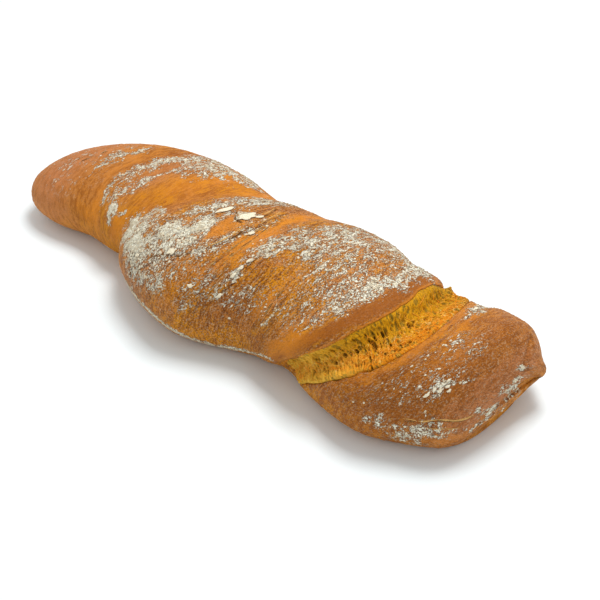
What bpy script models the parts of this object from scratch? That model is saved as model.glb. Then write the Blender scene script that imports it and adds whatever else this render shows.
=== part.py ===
"""A twisted spelt baguette, baked on a stone: one solid loaf with twist grooves and one burst seam.

Metres, +Z up. X runs along the loaf, from its blunt end (-X) to its tail (+X), and it rests on z = 0.
Round the loaf, 0 degrees is its +Y side, 90 the top, 180 its -Y side and 270 the base.
The origin is at the middle of the base.
"""

import math

import bmesh
import bpy
import numpy as np
from mathutils import Vector

# Each station gives a place along the loaf and the value there. The places are counted from a line
# near the middle, and the finished loaf is centred on the origin.
BLUNT_TIP = -0.170
TAIL_TIP = 0.184
SIDEWAYS = (
    (-0.165, 0.000),
    (-0.130, 0.018),
    (-0.100, 0.0298),
    (-0.070, 0.0268),
    (-0.040, 0.014),
    (-0.005, 0.005),
    (0.030, 0.012),
    (0.065, 0.023),
    (0.100, 0.018),
    (0.130, 0.0145),
    (0.153, 0.0215),
    (0.165, 0.027),
    (0.175, 0.032),
    (0.180, 0.038),
    (0.182, 0.045),
    (0.184, 0.061),
)
HALF_WIDTH = (
    (-0.165, 0.035),
    (-0.110, 0.041),
    (-0.080, 0.048),
    (-0.050, 0.057),
    (-0.025, 0.058),
    (0.005, 0.057),
    (0.035, 0.053),
    (0.065, 0.047),
    (0.092, 0.053),
    (0.130, 0.0555),
    (0.150, 0.0510),
    (0.172, 0.046),
)
HEIGHT = (
    (-0.165, 0.043),
    (-0.120, 0.049),
    (-0.080, 0.056),
    (-0.040, 0.065),
    (0.000, 0.067),
    (0.090, 0.0675),
    (0.125, 0.066),
    (0.155, 0.063),
    (0.175, 0.056),
    (0.184, 0.044),
)
TWIST = 0.033  # how far the twist carries the lobes along the loaf, from its top to either side
BLUNT_ROUNDING = 0.045  # length over which the blunt end rounds off
BULB_ROUNDING = 0.032
TAIL_LENGTH = 0.010  # the tail is the last lobe's back corner, drawn out and lifted
TAIL_RISE = 0.003  # how far the tail's tip is lifted

# A cross-section: half an ellipse above its widest line, a fuller half below it, cut flat at the base
WIDEST_AT = 0.42  # share of the height
BASE_DROP = 1.18  # how far the lower half would reach, against the height of the widest line
SHOULDER_POWER = 0.92
FOOT_POWER = 0.55

# Lines that wind round the loaf: where each crosses these angles, in degrees, as a place along the loaf
AROUND = (0, 45, 90, 135, 180, 225, 315)
END_GROOVE = (-0.068, -0.078, -0.095, -0.105, -0.092, -0.086, -0.072)
WAIST_GROOVE = (-0.003, -0.014, -0.037, -0.063, -0.074, -0.070, -0.014)
FINE_GROOVE = (0.026, 0.025, 0.021, 0.013, 0.000, -0.006, 0.020)
SOFT_VALLEY = (0.064, 0.060, 0.057, 0.052, 0.042, 0.036, 0.050)
LIP = (0.100, 0.115, 0.121, 0.105, 0.075, 0.058, 0.082)
SEAM_FOOT = (0.118, 0.133, 0.142, 0.130, 0.098, 0.080, 0.100)

# Each groove's depth at the same angles, and how far it spreads towards the blunt end and towards the tail
GROOVES = (
    (END_GROOVE, (0.0005, 0.0005, 0.0018, 0.0022, 0.0015, 0.0, 0.0), 0.008, 0.006),
    (WAIST_GROOVE, (0.0010, 0.0018, 0.0045, 0.0060, 0.0080, 0.0070, 0.0), 0.014, 0.008),
    (FINE_GROOVE, (0.0, 0.0010, 0.0018, 0.0014, 0.0, 0.0, 0.0), 0.005, 0.006),
    (SOFT_VALLEY, (0.0010, 0.0010, 0.0015, 0.0025, 0.0030, 0.0, 0.0), 0.012, 0.012),
)

# The burst seam across its width: 0 is the lip, 1 the foot of the torn crumb; height of the surface there
SEAM_PROFILE = (
    (-1.20, 0.0000),
    (-0.45, 0.0012),
    (-0.15, 0.0008),
    (0.00, -0.0008),
    (0.12, -0.0050),
    (0.28, -0.0085),
    (0.60, -0.0095),
    (0.92, -0.0080),
    (1.04, -0.0058),
    (1.50, -0.0030),
    (2.40, 0.0000),
)
SEAM_ENDS = (18, 58, 204, 222)  # angles between which the seam opens, stays open and closes again

# The seam where the last lobe was folded shut: its angle at places along the loaf, and its relief
FOLD_SEAM = ((0.110, 194), (0.125, 187), (0.140, 172), (0.155, 160), (0.172, 156))
FOLD_DEPTH = 0.0012
FOLD_SPREAD = 5.0  # degrees

# Flakes of skin lifted off the crust: place along the loaf, angle round it, radius and height
FLAKES = (
    (0.004, 89, 0.0070, 0.0016),
    (-0.026, 124, 0.0055, 0.0012),
)

# Slow unevenness of hand-shaped dough
UNEVEN_HEIGHT = 0.0006
UNEVEN_LENGTH = 0.016

SEGMENTS = 80
RING_SPANS = (12, 11, 9, 6, 10, 8, 14)  # mesh rings between the tips and the lines above
CROWDING = 0.3  # draws the mesh's points towards the top, away from the flat base

CRUST_COLOUR = (0.36, 0.135, 0.028, 1.0)
CRUST_ROUGHNESS = 0.62


def smooth_curve(at, stations):
    """A curve through the stations that overshoots little, with slopes from the neighbours."""
    places, values = np.array(stations).T
    slopes = np.gradient(values, places)
    i = np.clip(np.searchsorted(places, at) - 1, 0, len(places) - 2)
    step = places[i + 1] - places[i]
    share = np.clip((at - places[i]) / step, 0.0, 1.0)
    return (
        (2 * share**3 - 3 * share**2 + 1) * values[i]
        + (share**3 - 2 * share**2 + share) * step * slopes[i]
        + (3 * share**2 - 2 * share**3) * values[i + 1]
        + (share**3 - share**2) * step * slopes[i + 1]
    )


def winding(line, degrees):
    """Where a line lies along the loaf at an angle round it; the line closes on itself."""
    stations = [(angle + turn, place) for turn in (-360, 0, 360) for angle, place in zip(AROUND, line)]
    return smooth_curve(degrees, stations)


def fullness(x):
    """1 in the body of the loaf, falling to 0 at each tip."""
    blunt = np.clip((BLUNT_TIP + BLUNT_ROUNDING - x) / BLUNT_ROUNDING, 0.0, 1.0)
    bulb = np.clip((x - TAIL_TIP + BULB_ROUNDING) / BULB_ROUNDING, 0.0, 1.0)
    return np.sqrt(1 - blunt**2.2) * np.sqrt(1 - bulb**3.4)


def groove_relief(x, degrees):
    relief = np.zeros_like(x)
    for line, depths, before, after in GROOVES:
        away = x - winding(line, degrees)
        relief -= winding(depths, degrees) * np.exp(-((away / np.where(away < 0, before, after)) ** 2))
    return relief


def seam_relief(x, degrees):
    lip = winding(LIP, degrees)
    foot = winding(SEAM_FOOT, degrees)
    opening = np.clip((degrees - SEAM_ENDS[0]) / (SEAM_ENDS[1] - SEAM_ENDS[0]), 0.0, 1.0)
    closing = np.clip((SEAM_ENDS[3] - degrees) / (SEAM_ENDS[3] - SEAM_ENDS[2]), 0.0, 1.0)
    return smooth_curve((x - lip) / (foot - lip), SEAM_PROFILE) * opening * closing


def fold_relief(x, degrees):
    first, last = FOLD_SEAM[0][0], FOLD_SEAM[-1][0]
    along = np.clip((x - first) / (last - first), 0.0, 1.0)
    away = (degrees - smooth_curve(x, FOLD_SEAM)) / FOLD_SPREAD
    return -FOLD_DEPTH * np.exp(-(away**2)) * np.sin(along * math.pi)


def flake_relief(x, degrees):
    relief = np.zeros_like(x)
    for place, angle, radius, height in FLAKES:
        round_about = np.radians(degrees - angle) * smooth_curve(x, HALF_WIDTH)
        relief += height * np.exp(-(((x - place) ** 2 + round_about**2) / radius**2) ** 2)
    return relief


def unevenness(x, degrees):
    angle = np.radians(degrees)
    slow = np.sin(x / UNEVEN_LENGTH + 2 * np.cos(angle + 0.5)) * np.sin(2 * angle + 0.6 * x / UNEVEN_LENGTH)
    quick = np.sin(2.3 * x / UNEVEN_LENGTH - 3 * np.sin(angle)) * np.cos(3 * angle + 1.0)
    return UNEVEN_HEIGHT * (slow + 0.6 * quick)


def surface(x, degrees):
    """A point of the crust, at a place along the loaf and an angle round it."""
    angle = np.radians(degrees)
    across = np.cos(angle)
    upwards = np.sin(angle)
    from_middle = (2 * x - BLUNT_TIP - TAIL_TIP) / (TAIL_TIP - BLUNT_TIP)
    untwisted = x - TWIST * across * (1 - from_middle**4)
    full = fullness(x)
    height = smooth_curve(x, HEIGHT)
    half_width = smooth_curve(untwisted, HALF_WIDTH)
    middle = WIDEST_AT * height
    lift = TAIL_RISE * np.clip((x - TAIL_TIP + TAIL_LENGTH) / TAIL_LENGTH, 0.0, 1.0)
    top_half = upwards > 0
    sideways = np.sign(across) * np.abs(across) ** np.where(top_half, SHOULDER_POWER, FOOT_POWER)
    reach = np.where(top_half, height - middle, middle * BASE_DROP)
    relief = groove_relief(x, degrees) + seam_relief(x, degrees) + fold_relief(x, degrees)
    relief += flake_relief(x, degrees) + unevenness(x, degrees)
    relief *= full
    y = smooth_curve(x, SIDEWAYS) + (half_width * full + relief) * sideways
    z = middle + lift + (reach * full + relief) * upwards
    return np.stack([x, y, np.maximum(z, 0.0)], -1)


def ring_place(ring, degrees):
    """Where a mesh ring lies along the loaf; the rings follow the lines that wind round it."""
    lines = (END_GROOVE, WAIST_GROOVE, FINE_GROOVE, SOFT_VALLEY, LIP, SEAM_FOOT)
    marks = [np.full_like(degrees, BLUNT_TIP)]
    marks += [winding(line, degrees) for line in lines]
    marks += [np.full_like(degrees, TAIL_TIP)]
    x = np.zeros_like(degrees)
    first = 0
    for i, rings in enumerate(RING_SPANS):
        share = np.clip((ring - first) / rings, 0.0, 1.0)
        if i == 0:
            share = 0.4 * share + 0.6 * (1 - np.sqrt(1 - share**2))
        if i == len(RING_SPANS) - 2:
            share = share**1.3
        if i == len(RING_SPANS) - 1:
            share = 0.4 * share + 0.6 * np.sqrt(1 - (1 - share) ** 2)
        inside = (ring > first - 0.5) & (ring < first + rings + 0.5)
        x = np.where(inside, marks[i] + (marks[i + 1] - marks[i]) * share, x)
        first += rings
    return x


def make_loaf():
    """A sphere whose poles are the tips, with each point carried to its place on the crust."""
    bm = bmesh.new()
    rings = sum(RING_SPANS)
    bmesh.ops.create_uvsphere(bm, u_segments=SEGMENTS, v_segments=rings, radius=1.0)
    ball = np.array([vertex.co for vertex in bm.verts])
    ring = np.round(rings * (1 - np.arccos(np.clip(ball[:, 2], -1.0, 1.0)) / math.pi))
    turn = np.arctan2(ball[:, 1], ball[:, 0])
    degrees = np.degrees(turn + CROWDING * np.cos(turn)) % 360
    places = surface(ring_place(ring, degrees), degrees)
    places[:, :2] -= (places.min(axis=0) + places.max(axis=0))[:2] / 2
    for vertex, place in zip(bm.verts, places):
        vertex.co = Vector(place)
    bmesh.ops.recalc_face_normals(bm, faces=bm.faces)
    mesh = bpy.data.meshes.new("baguette")
    bm.to_mesh(mesh)
    bm.free()
    mesh.shade_smooth()
    loaf = bpy.data.objects.new("baguette", mesh)
    bpy.context.scene.collection.objects.link(loaf)
    return loaf


def crust_material():
    material = bpy.data.materials.new("browned crust")
    material.use_nodes = True
    shader = material.node_tree.nodes["Principled BSDF"]
    shader.inputs["Base Color"].default_value = CRUST_COLOUR
    shader.inputs["Roughness"].default_value = CRUST_ROUGHNESS
    shader.inputs["Metallic"].default_value = 0.0
    return material


def main():
    for old in list(bpy.data.objects):
        bpy.data.objects.remove(old)
    loaf = make_loaf()
    loaf.data.materials.append(crust_material())


main()
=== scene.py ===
import math

import bmesh
import bpy
import numpy as np
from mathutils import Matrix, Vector, noise
from mathutils.bvhtree import BVHTree


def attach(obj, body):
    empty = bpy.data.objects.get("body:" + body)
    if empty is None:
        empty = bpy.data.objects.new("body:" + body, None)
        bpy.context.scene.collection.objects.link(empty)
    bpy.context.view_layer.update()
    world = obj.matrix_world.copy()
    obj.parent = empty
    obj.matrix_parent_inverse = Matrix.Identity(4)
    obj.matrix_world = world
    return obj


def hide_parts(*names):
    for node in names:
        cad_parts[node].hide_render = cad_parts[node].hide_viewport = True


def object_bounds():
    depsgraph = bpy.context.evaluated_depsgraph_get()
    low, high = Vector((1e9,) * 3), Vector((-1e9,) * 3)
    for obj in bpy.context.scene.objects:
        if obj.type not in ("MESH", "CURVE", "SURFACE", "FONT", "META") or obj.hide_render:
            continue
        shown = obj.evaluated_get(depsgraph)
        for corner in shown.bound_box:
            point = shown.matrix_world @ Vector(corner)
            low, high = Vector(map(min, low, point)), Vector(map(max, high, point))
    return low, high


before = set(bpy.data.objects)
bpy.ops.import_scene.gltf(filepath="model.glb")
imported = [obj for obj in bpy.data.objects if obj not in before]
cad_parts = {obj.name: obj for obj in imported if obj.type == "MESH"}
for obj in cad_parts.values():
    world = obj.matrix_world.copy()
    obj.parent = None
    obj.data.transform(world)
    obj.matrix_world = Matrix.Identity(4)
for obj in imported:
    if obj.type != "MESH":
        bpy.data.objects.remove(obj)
cadLow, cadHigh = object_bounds()
print("stage: frame loaded")

# Lines that wind round the loaf: distance from the blunt tip where each crosses the angles, in metres.
# Round the loaf 0 degrees is its +Y side, 90 the top, 180 its -Y side and 270 the base.
loaf = {
    "angles": (0, 45, 90, 135, 180, 225, 315),
    "lines": (
        (.102, .092, .075, .065, .078, .084, .098),
        (.167, .156, .133, .107, .096, .100, .156),
        (.196, .195, .191, .183, .170, .164, .190),
        (.234, .230, .227, .222, .212, .206, .220),
        (.270, .285, .291, .275, .245, .228, .252),
        (.288, .303, .312, .300, .268, .250, .270),
    ),
    "means": (0, .078, .123, .185, .223, .274, .296, .354),  # ends, windings, and the seam's lip and foot
    "spine": (
        (.005, -.0133), (.040, .0047), (.070, .0165), (.100, .0135), (.130, .0007), (.165, -.0083),
        (.200, -.0013), (.235, .0097), (.270, .0047), (.300, .0012), (.323, .0082), (.335, .0137),
        (.345, .0187), (.350, .0247), (.352, .0317), (.354, .0477),
    ),
    "widest": .42,
    "girth": .048,  # mean radius, for turning degrees into millimetres along the crust
    "opening": (8, 34, 206, 226),  # degrees between which the burst seam opens and closes
    "shiftReach": .010,  # how far from the seam's two lines the shifts below still move the crust
    # how far the lip and the foot of the seam lie from their even lines, by angle
    "lipShift": (
        (0, .004), (33, .004), (55, .0005), (66, -.0015), (76, -.0022), (87, -.0006), (100, .0), (115, .001),
        (140, .0025), (153, .0034), (172, .0045), (206, .0045), (218, .003), (360, .004),
    ),
    "footShift": (
        (0, -.001), (54, -.001), (72, -.0025), (93, -.002), (108, -.0003), (130, -.001), (140, -.0015),
        (147, .0), (156, .0042), (166, .0048), (178, .003), (206, -.0012), (218, -.0035), (360, -.001),
    ),
}
length, lip, foot = loaf["means"][-1], loaf["means"][5], loaf["means"][6]


def hermite(at, places, values):
    places, values = np.asarray(places, float), np.asarray(values, float)
    slopes = np.gradient(values, places)
    i = np.clip(np.searchsorted(places, at) - 1, 0, len(places) - 2)
    step = places[i + 1] - places[i]
    share = np.clip((at - places[i]) / step, 0, 1)
    return (
        (2 * share**3 - 3 * share**2 + 1) * values[i]
        + (share**3 - 2 * share**2 + share) * step * slopes[i]
        + (3 * share**2 - 2 * share**3) * values[i + 1]
        + (share**3 - share**2) * step * slopes[i + 1]
    )


def unit(vectors):
    return vectors / np.linalg.norm(vectors, axis=-1, keepdims=True)


def ramp(at, low, high):
    share = np.clip((at - low) / (high - low), 0, 1)
    return share * share * (3 - 2 * share)


def hump(at, middle, reach):
    return np.exp(-(((at - middle) / reach) ** 2))


# each row or number drawn towards its neighbours; the ends stay
def evened(rows):
    rows = rows.copy()
    rows[1:-1] = .25 * rows[:-2] + .5 * rows[1:-1] + .25 * rows[2:]
    return rows


def windingAt(index, degrees):
    places = [angle + turn for turn in (-360, 0, 360) for angle in loaf["angles"]]
    return hermite(degrees, places, loaf["lines"][index] * 3)


# the distance from the blunt tip, for a place counted along the twisted lobes and an angle
def twistedPlace(along, degrees):
    windings = [windingAt(i, degrees) for i in range(len(loaf["lines"]))]
    marks = [np.zeros_like(degrees), *windings, np.full_like(degrees, length)]
    place = np.zeros_like(along)
    for i, (first, last) in enumerate(zip(loaf["means"], loaf["means"][1:])):
        share = (along - first) / (last - first)
        inside = (along >= first) & (along <= last)
        place = np.where(inside, marks[i] + share * (marks[i + 1] - marks[i]), place)
    return place


# moves places near the lip and the foot of the burst seam onto the two lines seen in the photograph
def seamPlace(along, degrees):
    reach = loaf["shiftReach"]
    lipMove = np.interp(degrees, *zip(*loaf["lipShift"])) * hump(along, lip, reach)
    footMove = np.interp(degrees, *zip(*loaf["footShift"])) * hump(along, foot, reach)
    return along + lipMove + footMove


def openness(degrees):
    first, second, third, fourth = loaf["opening"]
    return ramp(degrees, first, second) * (1 - ramp(degrees, third, fourth))


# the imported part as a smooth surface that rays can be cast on
def cadSurface():
    bm = bmesh.new()
    bm.from_mesh(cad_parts["baguette"].data)
    bmesh.ops.remove_doubles(bm, verts=bm.verts, dist=1e-6)
    bmesh.ops.triangulate(bm, faces=bm.faces)
    bmesh.ops.recalc_face_normals(bm, faces=bm.faces)
    bm.normal_update()
    bm.verts.index_update()
    surface = {
        "tree": BVHTree.FromBMesh(bm),
        "corners": np.array([[v.index for v in face.verts] for face in bm.faces]),
        "points": np.array([v.co for v in bm.verts]),
        "normals": np.array([v.normal for v in bm.verts]),
    }
    bm.free()
    return surface


cad = cadSurface()


def castAt(origin, direction):
    hit = cad["tree"].ray_cast(Vector(origin), Vector(direction).normalized(), 1.0)
    return (hit[0], hit[2]) if hit[0] is not None else (None, None)


# rays hit flat triangles; this bends each hit towards the planes of its corners, which rounds the facets off
def roundedHits(points, faces):
    corners = cad["corners"][faces]
    places, normals = cad["points"][corners], cad["normals"][corners]
    first, second = places[:, 1] - places[:, 0], places[:, 2] - places[:, 0]
    third = points - places[:, 0]
    aa, ab, bb = (first * first).sum(1), (first * second).sum(1), (second * second).sum(1)
    pa, pb = (third * first).sum(1), (third * second).sum(1)
    scale = np.maximum(aa * bb - ab * ab, 1e-20)
    v = np.clip((bb * pa - ab * pb) / scale, 0, 1)
    w = np.clip((aa * pb - ab * pa) / scale, 0, 1)
    weights = np.stack([np.clip(1 - v - w, 0, 1), v, w], 1)[:, :, None]
    offsets = ((points[:, None] - places) * normals).sum(2, keepdims=True)
    bent = (weights * (points[:, None] - offsets * normals)).sum(1)
    return .25 * points + .75 * bent


# half widths and heights of the loaf's sections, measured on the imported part
def measureSections():
    base = float(cadLow.x)
    distances = np.linspace(.0012, length - .0012, 240)
    rows = []
    for distance in distances:
        x = base + distance
        y = float(hermite(distance, *zip(*loaf["spine"])))
        top = castAt((x, y, .2), (0, 0, -1))[0]
        bottom = castAt((x, y, -.1), (0, 0, 1))[0]
        high = top.z if top else rows[-1][2]
        low = bottom.z if bottom else rows[-1][3]
        middle = low + loaf["widest"] * (high - low)
        left = castAt((x, .3, middle), (0, -1, 0))[0]
        right = castAt((x, -.3, middle), (0, 1, 0))[0]
        leftWidth = max(left.y - y, .001) if left else .001
        rightWidth = max(y - right.y, .001) if right else .001
        rows.append((leftWidth, rightWidth, high, low))
    rows = np.array(rows)
    for _ in range(3):
        rows = evened(rows)
    return distances, rows


sectionPlaces, sectionRows = measureSections()
print("stage: sections measured")


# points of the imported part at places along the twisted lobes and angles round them
def onLoaf(along, degrees):
    shape = along.shape
    along, degrees = along.ravel(), degrees.ravel()
    distance = np.clip(twistedPlace(along, degrees), .0004, length - .0004)
    angle = np.radians(degrees)
    across, up = np.cos(angle), np.sin(angle)
    left, right, high, low = [np.interp(distance, sectionPlaces, row) for row in sectionRows.T]
    side = left * (1 + across) / 2 + right * (1 - across) / 2
    middleY = hermite(distance, *zip(*loaf["spine"]))
    middleZ = low + loaf["widest"] * (high - low)
    reach = np.where(up > 0, high - middleZ, middleZ - low + .18 * loaf["widest"] * high)
    sideways = np.sign(across) * np.abs(across) ** np.where(up > 0, .92, .55)
    origins = np.stack([distance + cadLow.x, middleY, middleZ], 1)
    directions = np.stack([np.zeros_like(side), side * sideways, reach * up], 1)
    points, faces = origins.copy(), np.zeros(len(along), int)
    for i, (origin, direction) in enumerate(zip(origins, directions)):
        hit, face = castAt(origin, direction)
        if hit is not None:
            points[i] = hit
            faces[i] = face
        elif i:
            points[i], faces[i] = points[i - 1], faces[i - 1]
    points = roundedHits(points, faces)
    grain = np.stack([.6 * along + .4 * distance, points[:, 1] - middleY, points[:, 2] - middleZ], 1)
    return points.reshape(*shape, 3), grain.reshape(*shape, 3)


def noiseField(points, scale, octaves=3, seed=0.0, stretch=(1, 1, 1)):
    flat = points.reshape(-1, 3) * np.array(stretch) * scale + seed * 7.31
    values = [noise.fractal(Vector(point), 1.0, 2.0, octaves) for point in flat]
    return np.array(values).reshape(points.shape[:-1])


# places on the crust in millimetres: along the lobes, and round them from the +Y side
def inMillimetres(along, degrees):
    return along * 1000, np.radians(degrees) * loaf["girth"] * 1000


def patchField(along, degrees, patches, bend=0):
    far, around = inMillimetres(along, degrees)
    far, around = far + bend, around + 1.6 * bend
    total = np.zeros_like(far)
    for place, angle, halfAlong, halfRound, amount in patches:
        middle = math.radians(angle) * loaf["girth"] * 1000
        reach = ((far - place) / halfAlong) ** 2 + ((around - middle) / halfRound) ** 2
        share = np.exp(-(reach**1.4)) * amount
        total = total + share * np.where(share > 0, 1 - np.clip(total, 0, 1), 1)
    return total


# how near each place is to a line drawn on the crust: 1 on it, 0 beyond its half width
def strokeField(along, degrees, strokes):
    far, around = inMillimetres(along, degrees)
    total = np.zeros_like(far)
    for width, amount, *line in strokes:
        nearest = np.full_like(far, 1e3)
        for (firstAlong, firstAngle), (lastAlong, lastAngle) in zip(line, line[1:]):
            ax, ay = firstAlong, math.radians(firstAngle) * loaf["girth"] * 1000
            bx, by = lastAlong - ax, math.radians(lastAngle) * loaf["girth"] * 1000 - ay
            share = np.clip(((far - ax) * bx + (around - ay) * by) / (bx * bx + by * by), 0, 1)
            nearest = np.minimum(nearest, np.hypot(far - ax - share * bx, around - ay - share * by))
        total = np.maximum(total, amount * np.exp(-((nearest / width) ** 2)))
    return total


def linear(*colour):
    parts = [part / 255 for part in colour]
    return [part / 12.92 if part <= .04045 else ((part + .055) / 1.055) ** 2.4 for part in parts] + [1]


def addAttribute(mesh, name, values):
    vector = values.ndim == 2
    layer = mesh.attributes.new(name, "FLOAT_VECTOR" if vector else "FLOAT", "POINT")
    layer.data.foreach_set("vector" if vector else "value", values.astype(np.float32).ravel())


# doubles a small form until there are enough copies; gives each point's copy and its place in the form
def manyCopies(bm, count):
    bm.verts.index_update()
    shape = np.array([v.co for v in bm.verts])
    cornerTag = bm.verts.layers.int.new("corner")
    copyTag = bm.verts.layers.int.new("copy")
    for i, vertex in enumerate(bm.verts):
        vertex[cornerTag] = i
    doubling = 0
    while 2**doubling < count:
        result = bmesh.ops.duplicate(bm, geom=bm.verts[:] + bm.edges[:] + bm.faces[:])
        for item in result["geom"]:
            if isinstance(item, bmesh.types.BMVert):
                item[copyTag] += 2**doubling
        doubling += 1
    extra = [vertex for vertex in bm.verts if vertex[copyTag] >= count]
    bmesh.ops.delete(bm, geom=extra, context="VERTS")
    tags = np.array([(vertex[copyTag], vertex[cornerTag]) for vertex in bm.verts])
    bm.verts.layers.int.remove(copyTag)
    bm.verts.layers.int.remove(bm.verts.layers.int["corner"])
    return shape, tags[:, 0], tags[:, 1]


def setPoints(vertices, points):
    for vertex, place in zip(vertices, points):
        vertex.co = place


# moves a form's points, none of them past the loaf's box
def placePoints(bm, points):
    points = np.clip(points, np.array(cadLow), np.array(cadHigh))
    setPoints(bm.verts, points)
    return points


# thin tapered strands along paths; paths and normals are grids of copy, step
def layStrands(name, paths, normals, widths, heights, lifts, tones, material):
    count, steps = paths.shape[:2]
    bm = bmesh.new()
    bmesh.ops.create_cone(bm, cap_ends=True, segments=6, radius1=1, radius2=1, depth=2)
    sides = [edge for edge in bm.edges if abs(edge.verts[0].co.z - edge.verts[1].co.z) > 1]
    bmesh.ops.subdivide_edges(bm, edges=sides, cuts=steps - 2)
    shape, copy, corner = manyCopies(bm, count)
    step = np.round((shape[:, 2] + 1) / 2 * (steps - 1)).astype(int)
    taper = 1 - .88 * np.abs(shape[:, 2]) ** 3
    onward = unit(np.gradient(paths, axis=1))
    sideways = np.cross(normals, onward)
    uneven = (1 + .9 * noiseField(paths, 420, 2, 4.0))[:, step] * taper
    points = paths[:, step] + sideways[:, step] * (shape[:, 0] * uneven * widths[:, None])[:, :, None]
    rise = shape[:, 1] * uneven * heights[:, None] + lifts[:, step]
    points = points + normals[:, step] * rise[:, :, None]
    points = placePoints(bm, points[copy, corner])
    addPiece(name, bm, material, {"grain": points, "tone": tones[copy]})


def addObject(name, data):
    item = bpy.data.objects.new(name, data)
    bpy.context.scene.collection.objects.link(item)
    return item


def addMesh(name, bm, material):
    mesh = bpy.data.meshes.new(name)
    bm.to_mesh(mesh)
    bm.free()
    mesh.materials.append(material)
    return addObject(name, mesh)


def addPiece(name, bm, material, attributes):
    bmesh.ops.recalc_face_normals(bm, faces=bm.faces)
    piece = addMesh(name, bm, material)
    piece.data.shade_smooth()
    for key, values in attributes.items():
        addAttribute(piece.data, key, values)
    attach(piece, "root")
    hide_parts("baguette")
    print("stage:", name, len(piece.data.vertices), "points")


# a small helper for writing a material's nodes one line at a time
class Nodes:
    def __init__(self, name):
        self.material = bpy.data.materials.new(name)
        self.material.use_nodes = True
        self.tree = self.material.node_tree
        self.shader = self.tree.nodes["Principled BSDF"]

    def add(self, kind, inputs, output=0, **settings):
        node = self.tree.nodes.new("ShaderNode" + kind)
        for key, value in settings.items():
            setattr(node, key, value)
        for key, value in inputs.items():
            self.feed(node.inputs[key], value)
        return node.outputs[output]

    def feed(self, socket, value):
        if isinstance(value, bpy.types.NodeSocket):
            self.tree.links.new(value, socket)
        else:
            socket.default_value = value

    def attribute(self, name):
        vector = name == "grain"
        return self.add("Attribute", {}, output="Vector" if vector else "Fac", attribute_name=name)

    def math(self, operation, first, second):
        return self.add("Math", {0: first, 1: second}, operation=operation)

    def plus(self, first, second):
        return self.math("ADD", first, second)

    def times(self, first, second):
        return self.math("MULTIPLY", first, second)

    def noise(self, stretch, detail, roughness, seed):
        inputs = {0: self.attribute("grain"), 1: stretch, 2: (seed, seed, seed)}
        moved = self.add("VectorMath", inputs, operation="MULTIPLY_ADD")
        return self.add("TexNoise", {"Vector": moved, "Scale": 1, "Detail": detail, "Roughness": roughness})

    def range(self, value, low, high, first=0, last=1):
        inputs = {"Value": value, "From Min": low, "From Max": high, "To Min": first, "To Max": last}
        return self.add("MapRange", inputs, interpolation_type="SMOOTHSTEP")

    def mix(self, share, first, second):
        inputs = {"Factor": share, 6: first, 7: second}
        return self.add("Mix", inputs, output=2, data_type="RGBA")

    # named colours laid over each other, each as far as its share says
    def layers(self, base, colours, shares):
        for share, name in shares:
            base = self.mix(share, base, colours[name])
        return base

    def finish(self, colour, roughness, gloss, height=None):
        values = {"Base Color": colour, "Roughness": roughness, "Specular IOR Level": gloss}
        if height is not None:
            values["Normal"] = self.add("Bump", {"Strength": 1, "Distance": .0008, "Height": height})
        for name, value in values.items():
            self.feed(self.shader.inputs[name], value)
        return self.material


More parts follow.
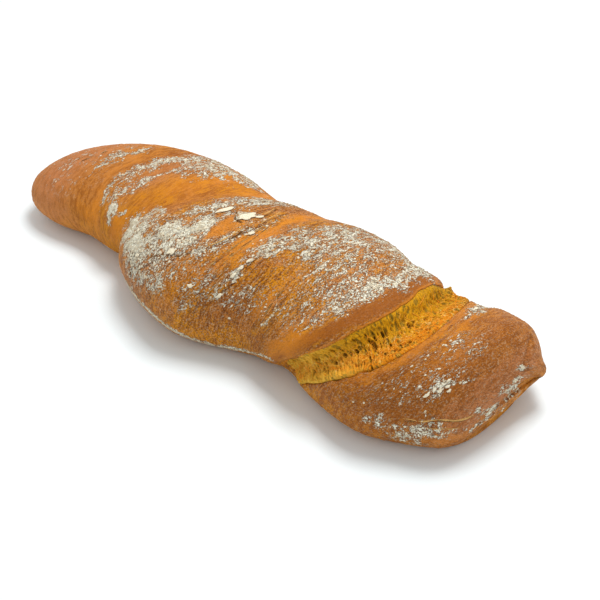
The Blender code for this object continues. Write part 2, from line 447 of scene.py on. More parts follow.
# Crust: the whole loaf as one closed skin, with a pan under the torn seam
crust = {
    "segments": 230,
    "rings": 426,
    "baseDensity": .32,  # points round the flat base, against the visible sides
    "shrink": .00035,
    "panDepth": .0032,
    "streakDepth": .00026,
    "roughDepth": .00022,
    "flourThickness": .00025,
    "crackDepth": .0005,
    "creaseDepth": .0017,
    "dentDepth": .0022,
    "smoothing": 10,  # rounds of evening out, away from the seam
    "raggedness": .035,  # of the lip and foot, as a share of the seam's width
    "fieldBend": 4.5,  # millimetres by which noise bends the patches below
    "lipGlow": (.75, -.0004, .0006),  # amount, place beside the lip, reach
    # patches of a look: middle along in mm, middle angle, half sizes along and round in mm, amount
    "flour": (
        (34, 16, 5, 10, .42), (61, 88, 2.6, 12, .62), (57, 103, 2.6, 9, .55), (53, 96, 2, 9, .42),
        (40, 110, 26, 40, .08), (79, 136, 3, 14, .6), (82, 108, 5, 13, .58), (84, 91, 5, 9, .78),
        (90, 80, 7, 8, .44), (98, 148, 5, 6, 1.2), (90, 132, 5, 10, .56), (97, 110, 3, 9, .42),
        (101, 92, 3, 8, .45), (98, 124, 6, 9, .22), (104, 72, 8, 13, .62), (110, 50, 8, 14, .62),
        (110, 146, 2.5, 3, .75), (92, 60, 10, 16, .36), (127, 148, 6, 14, 1.1), (134, 128, 6, 9, .76),
        (140, 147, 8, 10, 1.1), (150, 122, 7, 9, 1), (157, 105, 7, 11, 1.05), (162, 122, 7, 10, .62),
        (147, 142, 7, 11, .52), (142, 96, 4, 12, .48), (145, 68, 8, 18, .5), (152, 48, 9, 16, .45),
        (146, 88, 2, 8, .85), (163, 84, 5, 5, 1), (166, 97, 4.5, 7, -1.2), (158, 132, 3, 4, .95),
        (158, 153, 13, 18, .54), (169, 154, 4, 9, .5), (150, 168, 3, 8, .62), (175, 120, 6, 20, .42),
        (178, 95, 5, 14, .42), (190, 150, 8, 16, .26), (215, 150, 14, 14, .22), (199, 127, 1.6, 9, .85),
        (201, 152, 1.5, 6, .8), (196, 104, 5, 10, .42), (206, 90, 12, 14, .6), (202, 108, 5, 7, .72),
        (221, 92, 8, 7, .5), (214, 70, 10, 14, .44), (236, 92, 12, 20, .42), (250, 106, 6, 12, .42),
        (257, 96, 5.5, 20, .62), (261, 70, 6.5, 22, .7), (264, 46, 7, 14, .66), (256, 120, 7, 9, .36),
        (250, 142, 12, 20, .12), (233, 155, 1.5, 9, .72), (242, 126, 12, 18, .14), (226, 60, 12, 22, .38),
        (245, 48, 10, 16, .42), (230, 30, 30, 20, .32), (262, 18, 9, 22, .6), (205, 14, 14, 18, .46),
        (150, 18, 12, 20, .52), (96, 24, 10, 18, .4), (310, 20, 8, 18, .36), (178, -10, 9, 14, .4),
        (240, -12, 12, 12, .34), (130, -8, 9, 12, .3), (56, 30, 6, 14, .34), (305, 60, 4, 13, .7),
        (315, 95, 3, 6, .48), (329, 99, 4, 4, .46), (333, 139, 3, 8, .7), (338, 126, 2.5, 5, .4),
        (341, 184, 5, 11, .62), (336, 200, 5, 9, .52), (336, 172, 1.8, 8, .62), (320, 125, 16, 32, .14),
        (328, 186, 6, 6, .46), (349.6, 82, 1.5, 9, .9), (351.9, 114, 1.5, 11, .9),
        (353.3, 176, 1.2, 12, .62), (353, 148, 1.1, 11, .78), (353, 200, 1.6, 8, .42),
        (335, 139, 2.2, 9, .85),
    ),
    # golden patches in the grooves and on low faces, partly the crust's paler bake and partly painted bounce
    # light on faces turned away from the lamp
    "glow": (
        (116, 120, 8, 34, .45), (114, 82, 6, 26, .6), (126, 50, 6, 22, .75), (74, 150, 4, 20, .6),
        (70, 100, 3, 20, .4), (260, 166, 13, 16, 1), (112, 160, 10, 14, 1), (66, 165, 8, 12, .6),
        (186, 60, 4, 26, .95), (187, 96, 4, 18, .9), (186, 130, 4, 16, .6), (166, 97, 5, 9, .8),
        (299, 100, 3, 46, .7), (309, 84, 3, 16, .7), (192, 110, 6, 16, .5), (178, 150, 8, 20, .4),
        (224, 150, 5, 26, .6), (320, 110, 8, 20, .3), (346, 196, 6, 8, .4),
    ),
    "brown": (
        (269, 120, 6, 75, 1.3), (215, 165, 18, 22, .5), (318, 150, 20, 34, .9), (302, 140, 6, 44, .8),
        (60, 150, 18, 30, .35), (160, 185, 20, 14, .35), (250, 175, 15, 20, .5), (326, 130, 20, 80, .8),
        (340, 120, 14, 90, .7), (190, 140, 24, 26, .35), (84, 70, 20, 40, .45), (120, 96, 14, 50, .35),
        (200, 0, 40, 40, .6), (90, 5, 40, 36, .5),
    ),
    # pinkish patches, partly the crust's own tone and partly painted sky sheen
    "blush": (
        (30, 120, 34, 90, 1), (96, 100, 14, 44, .8), (72, 120, 12, 40, .5), (326, 66, 16, 30, .6),
        (348, 120, 9, 90, 1.2), (326, 150, 14, 50, .5), (160, 110, 20, 50, .5), (225, 60, 16, 26, .5),
        (268, 110, 5, 70, .35), (150, 5, 26, 40, .6), (290, 5, 40, 36, .6), (150, 175, 14, 14, .6),
        (28, 12, 34, 46, .9), (28, 338, 36, 42, .85), (334, 338, 24, 40, .6), (150, 344, 40, 26, .4),
        (230, 344, 40, 26, .4),
    ),
    # strokes: half width in mm, amount, then the line's places along in mm and angles
    "rim": (
        (
            2.2, 1.15, (146, 191), (158, 192), (171, 194), (181, 201), (191, 209), (202, 216), (211, 220),
            (220, 215), (231, 211),
        ),
        (1.5, .95, (231, 211), (242, 203), (252, 195), (262, 192), (268, 196)),
    ),
    "cracks": (
        (.45, 1, (146, 148), (149, 159), (151, 170)),
        (.4, .8, (154, 160), (165, 132), (176, 118), (179, 88), (175, 66)),
        (.35, .7, (158, 140), (162, 131), (168, 128)),
        (.35, .6, (186, 140), (184, 114), (182, 96)),
        (.35, .6, (200, 162), (201, 146), (203, 138)),
        (.35, .5, (190, 150), (192, 130), (193, 116)),
        (.35, .5, (238, 160), (234, 146), (230, 136)),
        (.35, .5, (222, 104), (218, 90), (214, 78)),
        (.4, .7, (344, 196), (342, 180), (340, 164)),
    ),
    "crease": (
        (1.25, 1, (342, 46), (346, 60), (349.2, 76), (351.6, 96), (352.5, 120), (353, 150), (353.2, 180)),
    ),
    "dents": (
        (304, 38, 8, 15, 1), (353.6, 186, 3.4, 30, 1.2), (354, 150, 2.4, 22, .9), (353, 268, 6, 54, 1.9),
    ),
    "colours": {
        "golden": linear(214, 138, 12),
        "brown": linear(156, 88, 22),
        "deep": linear(92, 46, 12),
        "glow": linear(222, 136, 34),
        "blush": linear(198, 127, 76),
        "flour": linear(248, 246, 226),
        "dull": linear(196, 178, 148),
        "crack": linear(72, 38, 16),
    },
}


skin = {}  # the finished crust as grids of points and fields, for what lies on it


# reads a grid between its points; after the last column comes the first
def readGrid(field, rows, columns):
    row = np.minimum(rows.astype(int), len(field) - 2)
    column = np.minimum(columns.astype(int), field.shape[1] - 1)
    following = (column + 1) % field.shape[1]
    down, over = rows - row, columns - column
    if field.ndim == 3:
        down, over = down[..., None], over[..., None]
    first = field[row, column] * (1 - over) + field[row, following] * over
    second = field[row + 1, column] * (1 - over) + field[row + 1, following] * over
    return first * (1 - down) + second * down


def fromSkin(name, along, degrees):
    rows = np.interp(along, skin["along"], np.arange(len(skin["along"])))
    turns = np.concatenate([skin["degrees"], [360.0]])
    return readGrid(skin[name], rows, np.interp(degrees % 360, turns, np.arange(len(turns))))


# places at shares of the whole, closer together where the density is higher
def spreadPlaces(fine, density, shares):
    total = np.concatenate([[0], np.cumsum((density[1:] + density[:-1]) / 2)])
    return np.interp(shares * total[-1], total, fine)


def crustGrid():
    segments, rings, sparse = crust["segments"], crust["rings"], crust["baseDensity"]
    fine = np.linspace(0, 360, 7201)
    fromTop = np.abs((fine - 90 + 180) % 360 - 180)
    density = sparse + (1 - sparse) * (1 - ramp(fromTop, 104, 132))
    degrees = spreadPlaces(fine, density, np.arange(segments) / segments)
    fine = np.linspace(0, length, 14281)
    ends = np.minimum(fine, length - fine)
    density = np.sqrt(1 + .011 / (ends + .0002))
    density += 2.6 * hump(fine - lip, .0004, .0016) + 1.4 * hump(fine, foot, .0018)
    along = spreadPlaces(fine, density, np.arange(rings + 1) / rings)
    return np.meshgrid(along, degrees, indexing="ij")


def gridNormals(points):
    across = np.roll(points, -1, 1) - np.roll(points, 1, 1)
    onward = np.gradient(points, axis=0)
    normals = np.cross(across, onward)
    outward = ((points - points.mean(1, keepdims=True)) * normals).sum()
    normals *= np.sign(outward)
    return normals / np.maximum(np.linalg.norm(normals, axis=2, keepdims=True), 1e-12)


# the loaf's skin before any relief
def layBaseSkin():
    ringAlong, degrees = crustGrid()
    along = seamPlace(ringAlong, degrees)
    points, grain = onLoaf(along, degrees)
    points[0] = points[1].mean(0) - (.0003, 0, 0)
    points[-1] = points[-2].mean(0) + (.0003, 0, 0)
    across = (ringAlong - lip) / (foot - lip)
    opened = openness(degrees)
    near = opened * ramp(across, -.35, -.15) * (1 - ramp(across, 1.15, 1.4))
    calm = (1 - near)[:, :, None]
    for _ in range(crust["smoothing"]):
        points = .25 * np.roll(points, 1, 1) + .5 * points + .25 * np.roll(points, -1, 1)
        points = points + (evened(points) - points) * calm
    normals = gridNormals(points)
    skin.update(along=ringAlong[:, 0], degrees=degrees[0], base=points, grain=grain, baseNormals=normals)
    return ringAlong, along, degrees, across, opened


# a ball whose points are moved onto the grid of the crust; gives each point's ring and column
def crustBall(bm, segments, rings):
    bmesh.ops.create_uvsphere(bm, u_segments=segments, v_segments=rings, radius=1.0)
    ball = np.array([v.co for v in bm.verts])
    ring = np.round(rings * (1 - np.arccos(np.clip(ball[:, 2], -1, 1)) / math.pi)).astype(int)
    column = np.round(np.arctan2(ball[:, 1], ball[:, 0]) / (2 * math.pi) * segments).astype(int) % segments
    return ring, column


def makeCrust():
    ringAlong, along, degrees, across, opened = layBaseSkin()
    points, grain, normals = skin["base"], skin["grain"], skin["baseNormals"]
    ragged = across + noiseField(grain, 160, 2, 3.0, (.3, 1, 1)) * crust["raggedness"]
    pan = opened * ramp(ragged, .0, .045) * (1 - ramp(ragged, .95, 1.02))
    bend = noiseField(grain, 110, 3, 8.0) * crust["fieldBend"]
    bent = ("flour", "glow", "blush")
    flour, glow, blush = [patchField(along, degrees, crust[name], bend) for name in bent]
    brown = patchField(along, degrees, crust["brown"], .5 * bend)
    rim, cracks, crease = [strokeField(along, degrees, crust[name]) for name in ("rim", "cracks", "crease")]
    flour = np.maximum(flour, rim)
    amount, beside, reach = crust["lipGlow"]
    glow = np.maximum(glow, amount * opened * hump(ringAlong - lip, beside, reach))
    # dark grit: little on the blunt lobes, most in the middle, less by the seam and on the last lobe
    grit = .22 + .75 * ramp(along, .118, .150) - .30 * ramp(along, .285, .31) - .55 * hump(along, .268, .0075)
    grit = grit * (1 - .6 * np.clip(glow, 0, 1))
    streaks = noiseField(grain, 300, 3, 1.0, (1.6, .35, .35))
    rough = noiseField(grain, 650, 2, 2.0, (1.2, .7, .7))
    speckle = ramp(noiseField(grain, 520, 2, 5.0, (1.3, .6, .6)) + (flour - .62) * .9, -.1, .25)
    height = crust["streakDepth"] * streaks * (.5 + .8 * np.clip(flour, 0, 1)) + crust["roughDepth"] * rough
    height += crust["flourThickness"] * speckle * np.clip(flour, 0, 1)
    height -= crust["crackDepth"] * cracks + crust["creaseDepth"] * crease
    height -= crust["dentDepth"] * patchField(along, degrees, crust["dents"])
    low = ramp(points[:, :, 2], .0002, .003)
    height = height * low * (1 - pan) - crust["shrink"] * low - crust["panDepth"] * pan
    points = points + normals * height[:, :, None]
    points[:, :, 2] = np.maximum(points[:, :, 2], 0)
    points = np.clip(points, np.array(cadLow), np.array(cadHigh))
    bm = bmesh.new()
    ring, column = crustBall(bm, crust["segments"], crust["rings"])
    setPoints(bm.verts, points[ring, column])
    corner = np.cross(np.roll(points, -1, 1) - points, np.gradient(points, axis=0))
    skin.update(points=points, normals=normals, flour=flour, pan=pan, area=np.linalg.norm(corner, axis=2))
    fields = {"grain": grain, "flour": flour, "glow": glow, "brown": brown, "crack": cracks, "blush": blush}
    fields.update(grit=grit, lowness=1 - ramp(points[:, :, 2], .004, .045))
    attributes = {name: field[ring, column] for name, field in fields.items()}
    addPiece("crust", bm, crustMaterial(), attributes)


def crustMaterial():
    colours = dict(crust["colours"])
    nodes = Nodes("browned crust")
    plus, times, span = nodes.plus, nodes.times, nodes.range
    names = ("flour", "glow", "brown", "lowness", "crack", "grit", "blush")
    flour, glow, brown, low, crack, grit, pink = [nodes.attribute(name) for name in names]
    mottle = nodes.noise((70, 45, 45), 4, .6, 3)
    streak = nodes.noise((480, 130, 130), 4, .8, 9)
    coarse = nodes.noise((330, 150, 150), 2, .6, 21)
    fine = nodes.noise((1250, 700, 700), 2, .75, 41)
    pepper = nodes.noise((1300, 1000, 1000), 2, .8, 33)
    salt = nodes.noise((1250, 700, 700), 2, .8, 57)
    # painted sky sheen: a pinkish mottle on the faces turned up, fading on the low ones
    blush = times(span(mottle, .42, .60), span(low, .9, .2, 0, .6))
    browned = plus(times(brown, .8), span(streak, .45, .58, 0, .7))
    browned = nodes.math("MINIMUM", times(browned, span(pink, .3, 1, 1, .65)), 1)
    lines = span(nodes.noise((900, 75, 75), 3, .6, 71), .54, .61)
    lines = times(times(lines, span(grit, .4, 1, .05, .45)), span(low, .80, .35, .12, 1))
    peppered = times(span(pepper, .50, .60), times(grit, .85))
    rubbed = times(span(salt, .54, .62), span(flour, 0, .3, .42, .85))
    rubbed = times(rubbed, span(grit, .35, .85, .12, 1))
    # dusted flour, with small holes in it and a thin rim of painted shadow round each patch
    level = plus(plus(times(coarse, .45), times(fine, .55)), times(flour, .155))
    level = plus(level, span(flour, .80, 1, 0, .06))
    dust = times(span(level, .572, .598), span(flour, 0, .12, 0, 1))
    dust = times(dust, plus(span(pepper, .52, .60, 1, .25), span(flour, .6, 1, 0, .5)))
    rim = times(span(level, .535, .57), span(flour, .05, .3, 0, .65))
    base = nodes.mix(nodes.math("MAXIMUM", blush, pink), colours["golden"], colours["blush"])
    colours["dust"] = nodes.mix(span(salt, .38, .52), colours["dull"], colours["flour"])
    base = nodes.layers(base, colours, (
        (browned, "brown"),
        # golden colour, partly painted bounce light
        (times(glow, .8), "glow"),
        (lines, "deep"),
        (peppered, "deep"),
        (rubbed, "dull"),
        (times(span(flour, .1, 1.1), .15), "dull"),
        (rim, "deep"),
        (nodes.math("MINIMUM", times(dust, .95), .97), "dust"),
        # painted shade along the cracks
        (times(crack, .8), "crack"),
    ))
    height = plus(plus(times(dust, .7), times(streak, .9)), times(pepper, .4))
    height = nodes.math("SUBTRACT", height, times(lines, .5))
    return nodes.finish(base, span(dust, 0, 1, .55, .9), .12, height)


makeCrust()


# Crumb: the torn inside of the loaf, showing between the lip and the foot of the burst seam
crumb = {
    "columns": 560,
    "rows": 60,
    "angles": (6, 229),
    "across": (-.03, 1.07),
    "thickness": .0024,
    "sunk": .0010,  # how far the crumb's upper edge lies under the lip
    "strandDepth": .0008,
    "lumpHeight": .0009,
    "cellSize": .0030,
    "cellDepth": .0014,
    "poreDepth": .0022,
    "poreRim": .0004,
    "footDrop": .0030,  # how far the lower edge tucks in under the crust
    "footSwell": .0010,
    "backSwell": (.0030, 36, 17),  # height, middle and reach in degrees of the bulge at the back end
    "closedDepth": .0035,  # how far the crumb sinks where the seam is closed
    "seed": 11,
    "pores": 260,
    "poreSizes": (.0004, .0011),
    # place along in mm, angle, radius in mm
    "bigPores": (
        (284, 126, 2.3), (292, 181, 1.7), (286, 150, 1.4), (290, 160, 1.3), (285, 141, 1.2), (284, 170, 1.2),
        (287, 198, 1.3), (280, 114, 1.2), (281, 94, 1.2), (283, 84, 1.0), (285, 52, 1.7), (279, 70, .9),
        (289, 134, .9), (290, 104, .9), (279, 134, .8), (290, 190, .8), (280, 160, .8), (281, 186, 1.0),
    ),
    "colours": {
        "olive": linear(213, 151, 8),
        "orange": linear(222, 130, 6),
        "yellow": linear(230, 162, 20),
        "light": linear(242, 190, 66),
        "mossAndShade": linear(122, 104, 36),
        "paintedHighlight": linear(244, 214, 140),
        "shade": linear(90, 66, 18),
    },
}


# distances across the seam and along it, in metres, and the seam's slant, for places near the lip
def seamFrame(along, degrees):
    table = np.linspace(0, 360, 721)
    arc = np.radians(table) * loaf["girth"]
    lipLine = twistedPlace(np.full_like(table, lip), table)
    slant = np.gradient(lipLine, arc)
    stretch = np.sqrt(1 + slant**2)
    run = np.concatenate([[0], np.cumsum((stretch[1:] + stretch[:-1]) / 2 * np.diff(arc))])
    offset = twistedPlace(along, degrees) - np.interp(degrees, table, lipLine)
    slanted, stretched = np.interp(degrees, table, slant), np.interp(degrees, table, stretch)
    return offset / stretched, np.interp(degrees, table, run) + offset * slanted / stretched, slanted


# hollow cells with thin walls between them: depth of the hollow, 0 on a wall
def cellField(points, size, stretch):
    flat = points.reshape(-1, 3) * np.array(stretch) / size
    depths = []
    for point in flat:
        distances, middles = noise.voronoi(Vector(point))
        share = abs(math.sin(middles[0].x * 12.9 + middles[0].y * 78.2 + middles[0].z * 37.7))
        depths.append(min(1, max(0, distances[1] - distances[0] - .06) / .45) * share)
    return np.array(depths)


# depth of the pores and height of the large ones' rims, from 0 to 1
def crumbPores(acrossSeam, alongSeam):
    rng = np.random.default_rng(crumb["seed"])
    holes = [(place / 1000, angle, radius) for place, angle, radius in crumb["bigPores"]]
    smallest, largest = crumb["poreSizes"]
    for _ in range(crumb["pores"]):
        size = smallest + (largest - smallest) * rng.random() ** 3
        holes.append((.276 + .020 * rng.random(), rng.uniform(15, 220), size * 1000))
    places, turns, radii = np.array(holes).T
    middleAcross, middleAlong, _ = seamFrame(places, turns)
    pore, ring = np.zeros_like(alongSeam), np.zeros_like(alongSeam)
    for x, y, radius in zip(middleAcross, middleAlong, radii):
        reach = np.hypot((acrossSeam - x) / 1.25, alongSeam - y) * 1000 / radius
        share = np.clip(1 - reach**2, 0, 1)
        pore = np.maximum(pore, np.sqrt(share) * min(1, radius / 1.2))
        if radius > .75:
            ring = np.maximum(ring, hump(reach, 1.15, .22))
    return pore, ring


def makeCrumb():
    bm = bmesh.new()
    bmesh.ops.create_grid(bm, x_segments=crumb["columns"], y_segments=crumb["rows"], size=1.0)
    flat = np.array([v.co for v in bm.verts])
    first, last = crumb["angles"]
    degrees = first + (last - first) * (flat[:, 0] + 1) / 2
    low, high = crumb["across"]
    across = low + (high - low) * (flat[:, 1] + 1) / 2
    ringAlong = lip + across * (foot - lip)
    along = seamPlace(ringAlong, degrees)
    points, grain = fromSkin("base", ringAlong, degrees), fromSkin("grain", ringAlong, degrees)
    opened = openness(degrees)
    axis = np.stack([np.interp(points[:, 0] - cadLow.x, *zip(*loaf["spine"])), np.full(len(points), .026)], 1)
    outward = np.stack([np.full(len(points), .25), points[:, 1] - axis[:, 0], points[:, 2] - axis[:, 1]], 1)
    outward[:, 1:] = unit(outward[:, 1:])
    outward = unit(outward + fromSkin("baseNormals", ringAlong, degrees))
    acrossSeam, alongSeam, _ = seamFrame(along, degrees)
    lumps = noiseField(grain, 120, 2, 6.0)
    grain = np.stack([acrossSeam, alongSeam, .002 * lumps], 1)
    strands = noiseField(grain, 420, 3, 4.0, (.4, 1.6, 1.6))
    cells = cellField(grain, crumb["cellSize"], (.8, 1, 1))
    fibrous = ramp(across + .25 * lumps, .42, .72)
    height = crumb["strandDepth"] * (strands - .6 * np.abs(strands)) * (.5 + fibrous)
    height += crumb["lumpHeight"] * lumps
    height -= crumb["cellDepth"] * cells * (1 - .6 * fibrous)
    pore, ring = crumbPores(acrossSeam, alongSeam)
    height += crumb["poreRim"] * ring - crumb["poreDepth"] * pore
    edge = ramp(across, .0, .10) * (1 - ramp(across, .90, 1.02))
    height = height * edge - crumb["sunk"] * (1 - ramp(across, -.02, .10))
    height -= crumb["footDrop"] * ramp(across, .97, 1.06)
    height += crumb["footSwell"] * ramp(across, .5, .85) * (1 - ramp(across, .90, 1.0))
    swell, middle, reach = crumb["backSwell"]
    height += swell * hump(degrees, middle, reach) * (ramp(across, .0, .12) - 1.5 * ramp(across, .15, .9))
    closed = (1 - opened) * crumb["closedDepth"]
    height -= closed
    result = bmesh.ops.extrude_face_region(bm, geom=list(bm.faces), use_keep_orig=True)
    under = [item for item in result["geom"] if isinstance(item, bmesh.types.BMVert)]
    top = points + outward * height[:, None]
    top[:, 2] = np.maximum(top[:, 2], .0002)
    bm.verts.ensure_lookup_table()
    setPoints(bm.verts[:len(top)], top)
    column = np.round((flat[:, 0] + 1) / 2 * crumb["columns"]).astype(int)
    row = np.round((flat[:, 1] + 1) / 2 * crumb["rows"]).astype(int)
    face = np.zeros((row.max() + 1, column.max() + 1, 3))
    face[row, column] = top
    lift = np.zeros_like(face)
    lift[row, column] = outward
    skin.update(crumbFace=face, crumbOutward=lift)
    # the copied underside has the flat grid's places in another order
    flatIndex = {(round(float(x), 5), round(float(y), 5)): i for i, (x, y, z) in enumerate(flat)}
    order = np.array([flatIndex[(round(v.co.x, 5), round(v.co.y, 5))] for v in under])
    below = points[order] - outward[order] * (crumb["thickness"] + closed[order])[:, None]
    below[:, 2] = np.maximum(below[:, 2], .0001)
    setPoints(under, below)
    both = np.concatenate([np.arange(len(flat)), order])
    bottom = np.concatenate([np.zeros(len(flat)), np.ones(len(order))])
    attributes = {
        "grain": grain[both],
        "across": (across - .30 * (1 - ramp(degrees, 62, 100)))[both],
        "pore": np.clip(pore[both] + bottom, 0, 1),
        "cell": cells[both],
        "ring": ring[both],
        # painted light and shade: the crumb paler towards the seam's end at 229 degrees, darker towards its
        # end at 6 degrees
        "paintedEndLight": (ramp(degrees, 130, 190) - 1 + ramp(degrees, 30, 80))[both],
    }
    addPiece("crumb", bm, crumbMaterial(), attributes)


def crumbMaterial():
    colours = crumb["colours"]
    nodes = Nodes("torn crumb")
    plus, times, span = nodes.plus, nodes.times, nodes.range
    names = ("across", "pore", "cell", "paintedEndLight", "ring")
    across, pore, cell, paintedEndLight, ring = [nodes.attribute(name) for name in names]
    mottle = nodes.noise((230, 260, 260), 4, .6, 4)
    strand = nodes.noise((300, 1200, 1200), 3, .7, 14)
    tiny = nodes.noise((1300, 1500, 1500), 2, .7, 24)
    place = plus(across, span(mottle, .3, .7, -.24, .24))
    # painted highlights on the strands across the middle of the seam
    light = times(span(strand, .56, .62), span(place, .30, .50))
    light = times(light, span(place, .80, .60, .15, .75))
    # the painted light towards the seam's end near 229 degrees also thins the dark specks there
    dim = nodes.math("SUBTRACT", 1, times(paintedEndLight, .7))
    base = nodes.mix(span(place, .42, .66), colours["olive"], colours["orange"])
    base = nodes.layers(base, colours, (
        # painted light and shade along the seam, lighter towards one end and darker towards the other
        (times(paintedEndLight, .9), "light"),
        (times(paintedEndLight, -.45), "mossAndShade"),
        # the crumb's grey-green tone with painted shade in the cell hollows
        (span(cell, .10, .5, 0, .8), "mossAndShade"),
        (span(strand, .50, .60, 0, .75), "yellow"),
        (light, "paintedHighlight"),
        (times(span(tiny, .52, .64, 0, .6), dim), "shade"),
        # painted highlight round the rims of the large pores
        (times(ring, .7), "yellow"),
        (times(paintedEndLight, .4), "light"),
        (times(pore, .85), "shade"),
    ))
    return nodes.finish(base, .6, .15, plus(strand, times(tiny, .5)))


makeCrumb()


# Flour scales: small dried flakes of flour lying on the crust where it is dusted most
scales = {
    "count": 4096,
    "seed": 5,
    "halfLengths": (.00035, .00120),
    "slimness": (.35, .75),
    "thickness": (.00010, .00030),
    "colours": {"light": linear(240, 234, 210), "dark": linear(196, 176, 144)},
}


def makeScales():
    rng = np.random.default_rng(scales["seed"])
    bm = bmesh.new()
    bmesh.ops.create_uvsphere(bm, u_segments=7, v_segments=4, radius=1.0)
    count = scales["count"]
    shape, copy, corner = manyCopies(bm, count)
    points, normals, flour = skin["points"], skin["normals"], skin["flour"]
    weight = np.clip(flour, 0, 1.1) ** 1.6 * (1 - skin["pan"]) * (points[:, :, 2] > .003) * skin["area"]
    chosen = rng.choice(weight.size, count, p=weight.ravel() / weight.sum())
    row, column = np.unravel_index(chosen, weight.shape)
    normal = normals[row, column]
    onward = np.roll(points, -1, 1)[row, column] - points[row, column]
    onward += rng.normal(0, .45, (count, 3)) * np.linalg.norm(onward, axis=1, keepdims=True)
    onward -= (onward * normal).sum(1, keepdims=True) * normal
    onward = unit(onward)
    side = np.cross(normal, onward)
    small, large = scales["halfLengths"]
    long = small + (large - small) * rng.random(count) ** 2.5
    wide = long * rng.uniform(*scales["slimness"], count)
    thick = rng.uniform(*scales["thickness"], count)
    ragged = 1 + rng.uniform(-.3, .3, (count, len(shape)))
    places = points[row, column][:, None] + normal[:, None] * (thick * .5)[:, None, None]
    places = places + onward[:, None] * (shape[None, :, 0] * long[:, None] * ragged)[:, :, None]
    places = places + side[:, None] * (shape[None, :, 1] * wide[:, None] * ragged)[:, :, None]
    places = places + normal[:, None] * (shape[None, :, 2] * thick[:, None])[:, :, None]
    places = placePoints(bm, places[copy, corner])
    attributes = {"grain": places, "tone": rng.random(count)[copy]}
    addPiece("flour_scales", bm, dryMaterial("dried flour", scales["colours"]), attributes)


# dull and specked, between a light and a dark colour by each copy's tone
def dryMaterial(name, colours):
    nodes = Nodes(name)
    speck = nodes.noise((1800, 1800, 1800), 2, .6, 3)
    share = nodes.plus(nodes.times(nodes.attribute("tone"), .7), nodes.range(speck, .4, .6, 0, .4))
    colour = nodes.mix(share, colours["light"], colours["dark"])
    return nodes.finish(colour, .9, .12)


makeScales()


# Flaps: lifted bits of floured skin; place along in mm, angle, half sizes and height in mm, turn in degrees
flaps = {
    "plates": (
        (167, 85, 3.2, 4.2, .95, 20), (151, 88, 1.8, 4.4, .60, 14), (171, 81, 1.3, 2.0, .60, 0),
        (181, 95, 1.2, 1.6, .70, 30), (163, 131, 1.8, 2.6, .80, 20), (185, 150, 1.2, 1.4, .70, 0),
        (199, 133, 1.1, 1.9, .70, 0), (199, 126, 1.1, 1.8, .60, 10), (199, 119, 1.0, 1.8, .60, -10),
        (201, 152, 1.1, 2.0, .60, 0), (148, 148, 1.2, 1.6, .60, 0), (136, 137, 1.1, 1.3, .60, 0),
        (331, 147, .9, 2.4, .40, 25), (334, 141, .8, 2.0, .40, -15), (335, 136, .8, 1.6, .35, 20),
        (337, 139, .7, 1.5, .35, 60), (305, 62, 1.0, 2.2, .40, 10), (333, 131, .6, 1.4, .35, -30),
    ),
    "raggedness": .55,
    "bumpHeight": .00012,
    "colours": {"light": linear(240, 234, 208), "dark": linear(176, 132, 84)},
}


def makeFlaps():
    bm = bmesh.new()
    bmesh.ops.create_uvsphere(bm, u_segments=24, v_segments=10, radius=1.0)
    shape, copy, corner = manyCopies(bm, len(flaps["plates"]))
    plates = np.array(flaps["plates"], float)[copy]
    local = shape[corner]
    outline = np.stack([local[:, 0], local[:, 1], copy * 3.1], 1)
    ragged = 1 + flaps["raggedness"] * noiseField(outline, 1.6, 3, 2.0)
    turn = np.radians(plates[:, 5])
    along = (local[:, 0] * np.cos(turn) - local[:, 1] * np.sin(turn)) * plates[:, 2] * ragged
    around = (local[:, 0] * np.sin(turn) + local[:, 1] * np.cos(turn)) * plates[:, 3] * ragged
    degrees = plates[:, 1] + np.degrees(around / 1000 / loaf["girth"])
    along = (plates[:, 0] + along) / 1000
    base, normals = fromSkin("base", along, degrees), fromSkin("baseNormals", along, degrees)
    bumps = noiseField(base, 700, 2, 6.0) * flaps["bumpHeight"]
    rise = (local[:, 2] * .5 + .25) * plates[:, 4] / 1000 + bumps
    points = placePoints(bm, base + normals * rise[:, None])
    attributes = {"grain": points, "tone": np.clip(.5 - local[:, 2] * 1.1, 0, 1)}
    addPiece("flour_flaps", bm, dryMaterial("lifted skin", flaps["colours"]), attributes)


makeFlaps()


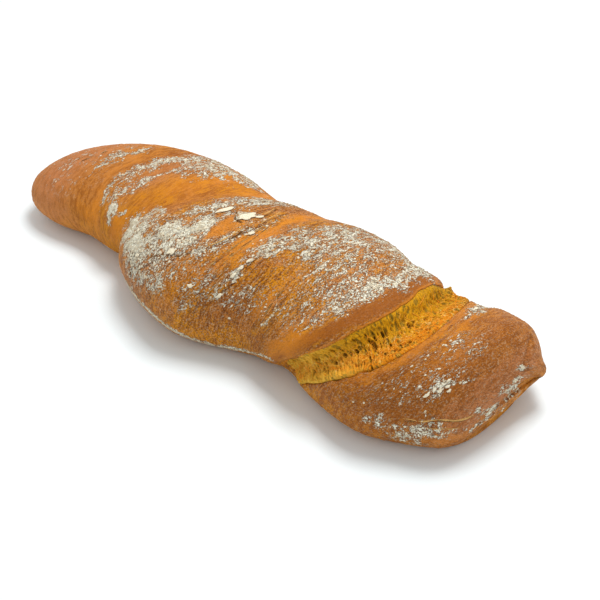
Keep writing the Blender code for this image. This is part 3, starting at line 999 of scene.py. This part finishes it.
# Folds: fine creases and stretched edges in the crust as thin strands, dark ones painted crease shadow, light
# ones painted highlight on raised edges; half width and height in mm, tone from dark to light
folds = {
    "steps": 25,
    "unevenness": .00050,
    "sunk": .00016,
    "lines": (
        (.42, .30, 0, (144, 148), (147, 161), (152, 171)),
        (.40, .30, 0, (151, 163), (153, 152), (156, 143), (162, 134), (168, 132), (171, 126), (176, 119)),
        (.48, .40, 0, (175, 121), (178, 110), (177, 100), (176, 92), (176, 88)),
        (.45, .45, 1, (173, 120), (176, 110), (175, 100), (174, 92), (174, 87)),
        (.40, .30, 0, (173, 86), (170, 73), (164, 60)),
        (.40, .35, 1, (171, 86), (168, 73), (162, 60)),
        (.40, .40, 1, (178, 88), (174, 74), (167, 58)),
        (.40, .30, .2, (187, 143), (187, 128), (186, 111), (186, 100), (183, 88), (180, 76), (174, 60)),
        (.50, .40, .6, (184, 143), (184, 128), (183, 111), (183, 100), (180, 88), (177, 76), (171, 60)),
        (.45, .40, .6, (190, 138), (188, 124), (187, 110), (187, 98), (184, 86)),
        (.36, .25, 0, (201, 138), (201, 124), (201, 112)),
        (.36, .45, 1, (236, 167), (233, 154), (231, 143)),
        (.50, .25, .3, (232, 167), (227, 146), (225, 124)),
        (.42, .35, 0, (152, 90), (157, 84), (166, 92), (171, 91), (174, 84)),
        (.50, .45, 1, (326, 177), (333, 172), (338, 173), (343, 165), (347, 166), (350, 162), (352, 166)),
        (.42, .25, .1, (324, 177), (333, 176), (339, 172), (344, 166), (348, 167), (351, 169)),
        (.36, .35, 1, (339, 180), (345, 176), (348, 176)),
        (.34, .25, .3, (40, 84), (36, 96), (33, 110)),
        (.34, .25, .3, (46, 82), (42, 94), (39, 108)),
    ),
    "colours": {"light": linear(222, 174, 104), "dark": linear(72, 36, 12)},
}


def makeFolds():
    lines = folds["lines"]
    share = np.linspace(0, 1, folds["steps"])
    paths, normals = [], []
    for _, _, _, *line in lines:
        marks = np.linspace(0, 1, len(line))
        along, degrees = [np.interp(share, marks, values) for values in zip(*line)]
        for _ in range(3):
            along, degrees = evened(along), evened(degrees)
        paths.append(fromSkin("points", along / 1000, degrees))
        normals.append(fromSkin("baseNormals", along / 1000, degrees))
    widths, heights, tones = [np.array([line[i] for line in lines], float) for i in range(3)]
    paths, normals = np.array(paths), np.array(normals)
    lifts = noiseField(paths, 260, 3, 9.0) * folds["unevenness"] - folds["sunk"]
    material = dryMaterial("fold shadows and highlights", folds["colours"])
    widths, heights, tones = widths / 1000, heights / 1000, 1 - tones
    layStrands("crust_folds", paths, normals, widths, heights, lifts, tones, material)


makeFolds()


# Fibres: torn strands of crumb that cross the burst seam
fibres = {
    "count": 900,
    "seed": 23,
    "steps": 5,
    "lengths": (.05, .18),  # of the seam's width
    "radii": (.00010, .00022),
    "arch": (.0000, .0004),
    "angles": (20, 216),
    "drift": 4.0,  # degrees, as the wiggle
    "wiggle": .45,
    "colours": {"light": linear(246, 190, 78), "dark": linear(228, 136, 12)},
}


def makeFibres():
    rng = np.random.default_rng(fibres["seed"])
    count, steps = fibres["count"], fibres["steps"]
    low, high = crumb["across"]
    first, last = crumb["angles"]
    share = np.linspace(0, 1, steps)[None, :]
    start = rng.beta(3.2, 1.6, count) * .86 + .02
    long = rng.uniform(*fibres["lengths"], count)
    across = np.clip(start[:, None] + (share - .5) * long[:, None], .02, .985)
    degrees = rng.uniform(*fibres["angles"], count)[:, None]
    degrees = degrees + (share - .5) * rng.normal(0, fibres["drift"], count)[:, None]
    slant = seamFrame(np.full(count, lip), degrees[:, 2])[2][:, None]
    onward = (share - .5) * long[:, None] * (foot - lip)
    degrees = degrees - np.degrees(onward * slant / (1 + slant**2) / loaf["girth"])
    degrees = degrees + rng.normal(0, fibres["wiggle"], (count, steps))
    rows = (across - low) / (high - low) * crumb["rows"]
    columns = (degrees - first) / (last - first) * crumb["columns"]
    arch = rng.uniform(*fibres["arch"], count)[:, None] * (1 - (2 * share - 1) ** 2)
    radii = rng.uniform(*fibres["radii"], count)
    paths, normals = [readGrid(skin[name], rows, columns) for name in ("crumbFace", "crumbOutward")]
    tones = rng.random(count) ** .8
    material = dryMaterial("crumb fibre", fibres["colours"])
    layStrands("crumb_fibres", paths, normals, radii, radii, arch, tones, material)


makeFibres()


# Floor, light and camera
studio = {
    "floorColour": (.87, .93, .945, 1),
    "worldStrength": .68,
    "lightEnergy": 8.4,
    "lightSize": .42,
    "lightPlace": (.02, .28, 1.1),
    "lightTarget": (.02, 0, .02),
    "azimuth": 42.8,
    "elevation": 40.0,
    "distance": .816,
    "lens": 85.0,
    "target": (.0406, -.0034, .03),
}


def makeStudio():
    bm = bmesh.new()
    bmesh.ops.create_grid(bm, x_segments=1, y_segments=1, size=6.0)
    floor = addMesh("floor", bm, Nodes("white table").finish(studio["floorColour"], .9, .5))

    world = bpy.data.worlds.new("studio")
    world.use_nodes = True
    sky = world.node_tree.nodes["Background"]
    sky.inputs["Color"].default_value = (1, 1, 1, 1)
    sky.inputs["Strength"].default_value = studio["worldStrength"]
    scene = bpy.context.scene
    scene.world = world

    light = addObject("softbox", bpy.data.lights.new("softbox", "AREA"))
    light.data.energy = studio["lightEnergy"]
    light.data.size = studio["lightSize"]
    light.location = studio["lightPlace"]
    aim = Vector(studio["lightTarget"]) - Vector(studio["lightPlace"])
    light.rotation_euler = aim.to_track_quat("-Z", "Y").to_euler()

    azimuth, elevation = math.radians(studio["azimuth"]), math.radians(studio["elevation"])
    level = math.cos(elevation)
    back = Vector((math.sin(azimuth) * level, -math.cos(azimuth) * level, math.sin(elevation)))
    camera = addObject("camera", bpy.data.cameras.new("camera"))
    camera.data.lens = studio["lens"]
    camera.location = Vector(studio["target"]) + back * studio["distance"]
    camera.rotation_euler = (-back).to_track_quat("-Z", "Y").to_euler()
    scene.camera = camera
    scene.view_settings.view_transform = "Standard"
    print("stage: studio")


makeStudio()

print("cad", [round(v, 5) for v in (*cadLow, *cadHigh)])
